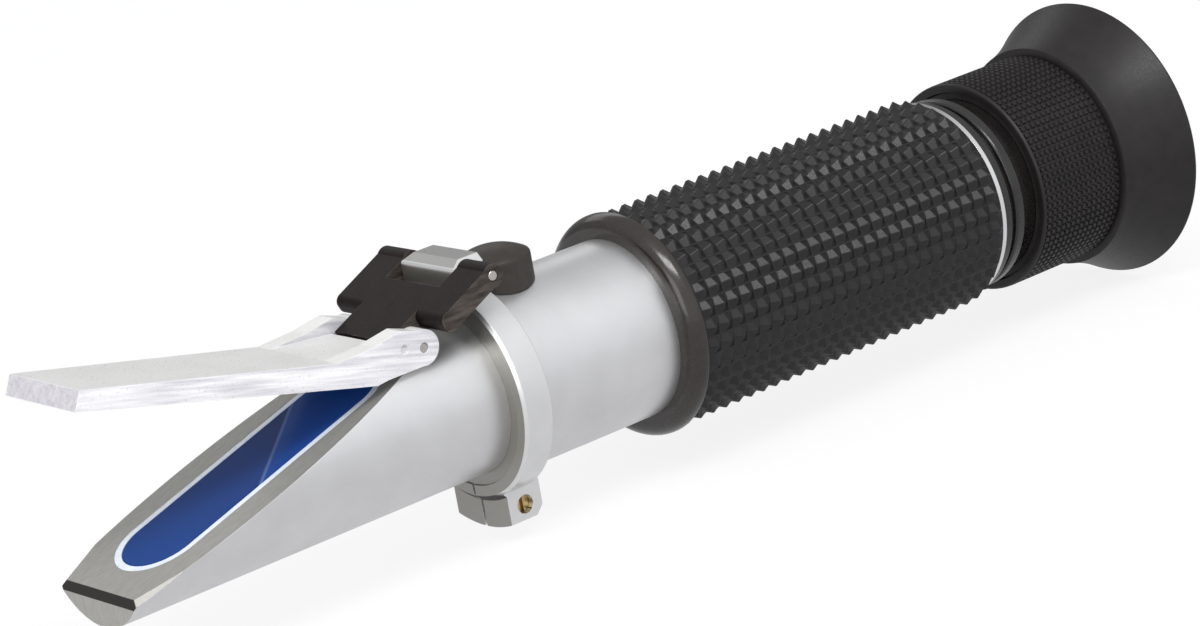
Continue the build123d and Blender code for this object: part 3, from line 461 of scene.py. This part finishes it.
materials = {
    # the barrel's forward faces carry painted shade
    "barrel_tube": satin_metal("satin_barrel", *ALUMINIUM, 0.38, metallic=0.95, front=FRONT_FACE_SHADE),
    "clamp_ring": clamp_metal(),
    "prism_housing": housing_metal(),
    "measuring_prism": prism_blue(),
    "prism_cement": moulded(
        "pale_cement", (0.56, 0.62, 0.72), (0.68, 0.73, 0.80), 0.3, 0.01, 2.0, coat=0.2
    ),
    "clamp_screw": satin_metal("brass", (0.50, 0.36, 0.15), (0.66, 0.50, 0.24), 0.3),
    "rear_hinge_pin": satin_metal("pin_steel", (0.52, 0.48, 0.44), (0.66, 0.62, 0.58), 0.3),
    "hinge_link": link_black(),
    "daylight_plate": frosted_plate(),
    "grip_collar": moulded(
        "collar_gloss", (0.012, 0.009, 0.007), (0.018, 0.014, 0.010), 0.22, 0.002, 2.0, coat=0.35, gloss=0.45
    ),
    "grip_end_ring": satin_metal(
        "bright_ring", (0.78, 0.78, 0.78), (0.86, 0.86, 0.86), 0.22, edge_mm=0.05, turned=True
    ),
    "eyepiece_tube": moulded(
        "eyepiece_gloss", (0.009, 0.008, 0.008), (0.014, 0.012, 0.011), 0.24, 0.002, 2.0, coat=0.3, gloss=0.4
    ),
    "calibration_cap": moulded(
        "cap_rubber", (0.028, 0.023, 0.020), (0.040, 0.034, 0.030), 0.44, 0.006, 4.0, edge_mm=0.3, gloss=0.3
    ),
    "calibration_bush": satin_metal("bush_metal", (0.70, 0.69, 0.67), (0.78, 0.77, 0.75), 0.3),
    "ocular_cell": moulded("inner_black", (0.016, 0.015, 0.015), (0.026, 0.024, 0.023), 0.45, 0.003, 3.0),
    "eye_lens": lens_glass(),
    "bimetal_strip": satin_metal("bimetal", (0.50, 0.40, 0.30), (0.60, 0.50, 0.40), 0.35),
}
grip_rubber = moulded(
    "grip_rubber", (0.0055, 0.0045, 0.0045), (0.0095, 0.008, 0.008), 0.36, 0.008, 5.0,
    edge_mm=0.04, gloss=0.42
)
cup_rubber = moulded(
    "cup_rubber", (0.007, 0.0055, 0.0055), (0.012, 0.0095, 0.0095), 0.42, 0.008, 4.0, gloss=0.36
)

SHARED = {
    "calibration_screw": "clamp_screw",
    "front_hinge_pin": "rear_hinge_pin",
    "guide_pin": "rear_hinge_pin",
    "carriage_spring": "rear_hinge_pin",
    "strip_screws": "rear_hinge_pin",
    "field_lens": "eye_lens",
    "objective_lens": "eye_lens",
    "scale_disc": "eye_lens",
}


def dress_nodes():
    """Every carried node gets its own material, one that it shares, or the inner black."""
    for name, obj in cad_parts.items():
        mat = materials.get(SHARED.get(name, name), materials["ocular_cell"])
        obj.data.materials.clear()
        obj.data.materials.append(mat)


# Pieces

def mesh_piece(name, points, faces, mat, sharp_deg):
    """A mesh object from points in millimetres, smooth up to an angle."""
    mesh = bpy.data.meshes.new(name)
    mesh.from_pydata([Vector(p) * MM for p in points], [], faces)
    mesh.update()
    mesh.polygons.foreach_set("use_smooth", [True] * len(mesh.polygons))
    mesh.set_sharp_from_angle(angle=radians(sharp_deg))
    mesh.materials.append(mat)
    obj = bpy.data.objects.new(name, mesh)
    bpy.context.scene.collection.objects.link(obj)
    return obj


def on_ring(x, r, degrees_round):
    """A point at radius r round the X axis, from the -Y side over the top."""
    t = radians(degrees_round)
    return (x, -r * cos(t), r * sin(t))


def cell(start, width, foot, top):
    """The places of one cell of relief, and whether each is on its raised top."""
    end = start + width
    return [(start + foot, False), (start + top, True), (end - top, True), (end - foot, False)]


def relief_ring(name, rows, turns, mat, sharp_deg):
    """A closed ring round the X axis. A row is its place, its radius and its radius on the tops."""
    points = [on_ring(x, top_r if on_top else r, turn) for x, r, top_r in rows for turn, on_top in turns]
    columns = len(turns)
    faces = []
    for i in range(len(rows)):
        j = (i + 1) % len(rows)
        for k in range(columns):
            m = (k + 1) % columns
            faces.append((i * columns + k, j * columns + k, j * columns + m, i * columns + m))
    return mesh_piece(name, points, faces, mat, sharp_deg)


def curve(start, bend, end, steps, first):
    """Plain rows on a quadratic curve through place and radius, from one of its steps on."""
    start, bend, end = Vector(start), Vector(bend), Vector(end)
    rows = []
    for i in range(first, steps + 1):
        t = i / steps
        p = start * (1 - t) ** 2 + bend * 2 * t * (1 - t) + end * t * t
        rows.append((p.x, p.y, p.y))
    return rows


def grip():
    """The rubber sleeve: rows of small pyramids, cut by rings and lengthwise grooves."""
    low, high = node_low_high("grip_sleeve")
    inner_r = node_low_high("barrel_tube")[1].y + GRIP_OVER_TUBE
    start = low.x + GRIP_LAND
    pitch = (high.x - start) / GRIP_ROWS
    step = 360 / GRIP_COLUMNS
    places = [(low.x, False), (start - GRIP_LAND_SLOPE, False)]
    for row in range(GRIP_ROWS):
        places += cell(start + row * pitch, pitch, GRIP_GROOVE_WIDTH / 2, (pitch - GRIP_TOP_WIDTH) / 2)
    places[-1] = (high.x - GRIP_END_GAP, False)
    rows = [(x, GRIP_GROOVE_R, high.y if raised else GRIP_GROOVE_R) for x, raised in places]
    rows += [(x, inner_r, inner_r) for x in (high.x - GRIP_END_GAP, low.x)]
    groove_deg = step * GRIP_GROOVE_WIDTH / 2 / GRIP_COLUMN_WIDTH
    top_deg = step * (0.5 - GRIP_TOP_WIDTH / 2 / GRIP_COLUMN_WIDTH)
    turns = []
    for column in range(GRIP_COLUMNS):
        turns += cell(GRIP_TURN + column * step, step, groove_deg, top_deg)
    piece = relief_ring("grip_pyramids", rows, turns, grip_rubber, GRIP_SHARP_DEG)
    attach(piece, "barrel")
    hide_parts("grip_sleeve")


def eyecup():
    """The rubber eyecup: a band of square knurling from its front edge, and the flare for the eye."""
    low, high = node_low_high("eyecup")
    sleeve = node_low_high("focus_sleeve")[1]
    inner_r = sleeve.y + CUP_OVER_SLEEVE
    rim_r = high.y
    band_front, band_rear = low.x + CUP_BAND_START, low.x + CUP_BAND_END
    pitch = (band_rear - band_front) / CUP_ROWS
    edge_along, edge_out = CUP_BORE_EDGE
    profile = [(low.x + edge_along, inner_r), (low.x, inner_r + edge_out)]
    profile += [(low.x, CUP_BODY_R - CUP_FACE_DROP)]
    profile += [
        (low.x + CUP_EDGE_R - CUP_EDGE_R * cos(t), CUP_BODY_R - CUP_EDGE_DROP + CUP_EDGE_R * sin(t))
        for t in (pi / 8, pi / 4, 3 * pi / 8, pi / 2)
    ]
    profile += [(band_front - CUP_BAND_GAP, CUP_BODY_R)]
    rows = [(x, r, r) for x, r in profile]
    for row in range(CUP_ROWS):
        for x, raised in cell(band_front + row * pitch, pitch, CUP_FOOT, CUP_TOP):
            rows.append((x, CUP_BODY_R, CUP_BODY_R + CUP_GROOVE_DEPTH if raised else CUP_BODY_R))
    rows += [(band_rear + behind, r, r) for behind, r in CUP_STEP]
    flare_end = (high.x + CUP_FLARE_END[0], rim_r + CUP_FLARE_END[1])
    rows += curve(rows[-1][:2], CUP_FLARE_BEND, flare_end, CUP_FLARE_STEPS, 1)
    for i in range(1, CUP_LIP_STEPS + 1):
        t = pi * i / CUP_LIP_STEPS
        x = high.x + CUP_LIP[0] + CUP_LIP_SIZE[0] * sin(t)
        r = rim_r + CUP_LIP[1] + CUP_LIP_SIZE[1] * cos(t)
        rows.append((x, r, r))
    inside_start = (high.x + CUP_INSIDE_START[0], rim_r + CUP_INSIDE_START[1])
    inside_x = sleeve.x + CUP_INSIDE_GAP
    rows += curve(inside_start, CUP_INSIDE_BEND, (inside_x, CUP_INSIDE_END_R), CUP_INSIDE_STEPS, 0)
    rows.append((inside_x, inner_r, inner_r))
    step = 360 / CUP_COLUMNS
    turns = []
    for column in range(CUP_COLUMNS):
        turns += cell(column * step, step, step * CUP_FOOT_SHARE, step * CUP_TOP_SHARE)
    piece = relief_ring("eyecup_rubber", rows, turns, cup_rubber, CUP_SHARP_DEG)
    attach(piece, "focus")
    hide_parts("eyecup")


# Stage, light and camera

def seen(tree):
    """1 for rays from the camera and rays through clear pieces."""
    path = add(tree, "ShaderNodeLightPath")
    return calculated(tree, "MAXIMUM", path.outputs["Is Camera Ray"], path.outputs["Is Transmission Ray"])


def mixed_shader(tree, factor, first, second):
    """The output of a mix of two shaders."""
    return add(tree, "ShaderNodeMixShader", {"Fac": factor, 1: first, 2: second}).outputs["Shader"]


def stage():
    """A pale floor that stays near white in view and keeps a soft shadow."""
    bpy.ops.mesh.primitive_plane_add(size=FLOOR_SIZE, location=(0, 0, cad_box[0][2] - FLOOR_GAP))
    floor = bpy.context.object
    floor.name = "floor"
    mat = bpy.data.materials.new("pale_floor")
    mat.use_nodes = True
    tree = mat.node_tree
    tree.nodes.clear()
    diffuse = add(tree, "ShaderNodeBsdfDiffuse", {"Color": (0.9, 0.9, 0.9, 1)}).outputs["BSDF"]
    dim = add(tree, "ShaderNodeEmission", {"Color": (0.70, 0.70, 0.72, 1)}).outputs["Emission"]
    glow = add(tree, "ShaderNodeEmission", {"Color": (1, 1, 1, 1)}).outputs["Emission"]
    glossy = add(tree, "ShaderNodeLightPath").outputs["Is Glossy Ray"]
    lit = mixed_shader(tree, glossy, diffuse, dim)
    share = calculated(tree, "MULTIPLY", seen(tree), FLOOR_GLOW)
    add(tree, "ShaderNodeOutputMaterial", {"Surface": mixed_shader(tree, share, lit, glow)})
    floor.data.materials.append(mat)


def sky():
    """White in view and through clear pieces, and on the object a soft light, stronger from one side."""
    world = bpy.data.worlds.new("studio")
    bpy.context.scene.world = world
    world.use_nodes = True
    tree = world.node_tree
    tree.nodes.clear()
    toward = dotted(tree, add(tree, "ShaderNodeTexCoord").outputs["Generated"], SKY_SIDE)
    strength = ranged(tree, toward, 0.28, 1.08, -0.6, 0.75)
    plain = add(tree, "ShaderNodeBackground", {"Color": (0.97, 0.98, 1, 1), "Strength": strength})
    white = add(tree, "ShaderNodeBackground", {"Color": (1, 1, 1, 1), "Strength": 1.0})
    both = mixed_shader(tree, seen(tree), plain.outputs["Background"], white.outputs["Background"])
    add(tree, "ShaderNodeOutputWorld", {"Surface": both})


def lights():
    """Soft rectangular lamps that face the origin."""
    for name, (place, width, height, watts) in LAMPS.items():
        data = bpy.data.lights.new(name, "AREA")
        data.shape = "RECTANGLE"
        data.size = width
        data.size_y = height
        data.energy = watts
        obj = bpy.data.objects.new(name, data)
        obj.location = place
        obj.rotation_euler = (-Vector(place)).to_track_quat("-Z", "Y").to_euler()
        bpy.context.scene.collection.objects.link(obj)


def camera():
    """The photograph's camera: place, direction, roll, focal length and principal point."""
    az, el, roll = (radians(v) for v in (CAMERA_AZIMUTH, CAMERA_ELEVATION, CAMERA_ROLL))
    back = Vector((sin(az) * cos(el), -cos(az) * cos(el), sin(el)))
    level_right = Vector((cos(az), sin(az), 0))
    level_up = back.cross(level_right)
    right = level_right * cos(roll) + level_up * sin(roll)
    up = back.cross(right)
    data = bpy.data.cameras.new("camera")
    data.sensor_width = SENSOR
    data.lens = FOCAL_PIXELS / IMAGE_WIDTH * SENSOR
    data.shift_x = SHIFT_X
    data.shift_y = SHIFT_Y
    data.clip_start = CLIP_START
    data.clip_end = CLIP_END
    obj = bpy.data.objects.new("camera", data)
    turn = Matrix((right, up, back)).transposed().to_4x4()
    obj.matrix_world = Matrix.Translation(CAMERA_PLACE) @ turn
    bpy.context.scene.collection.objects.link(obj)
    bpy.context.scene.camera = obj


camera()
stage()
sky()
lights()
dress_nodes()
grip()
eyecup()
bpy.context.scene.view_settings.view_transform = "Standard"
bpy.context.view_layer.update()
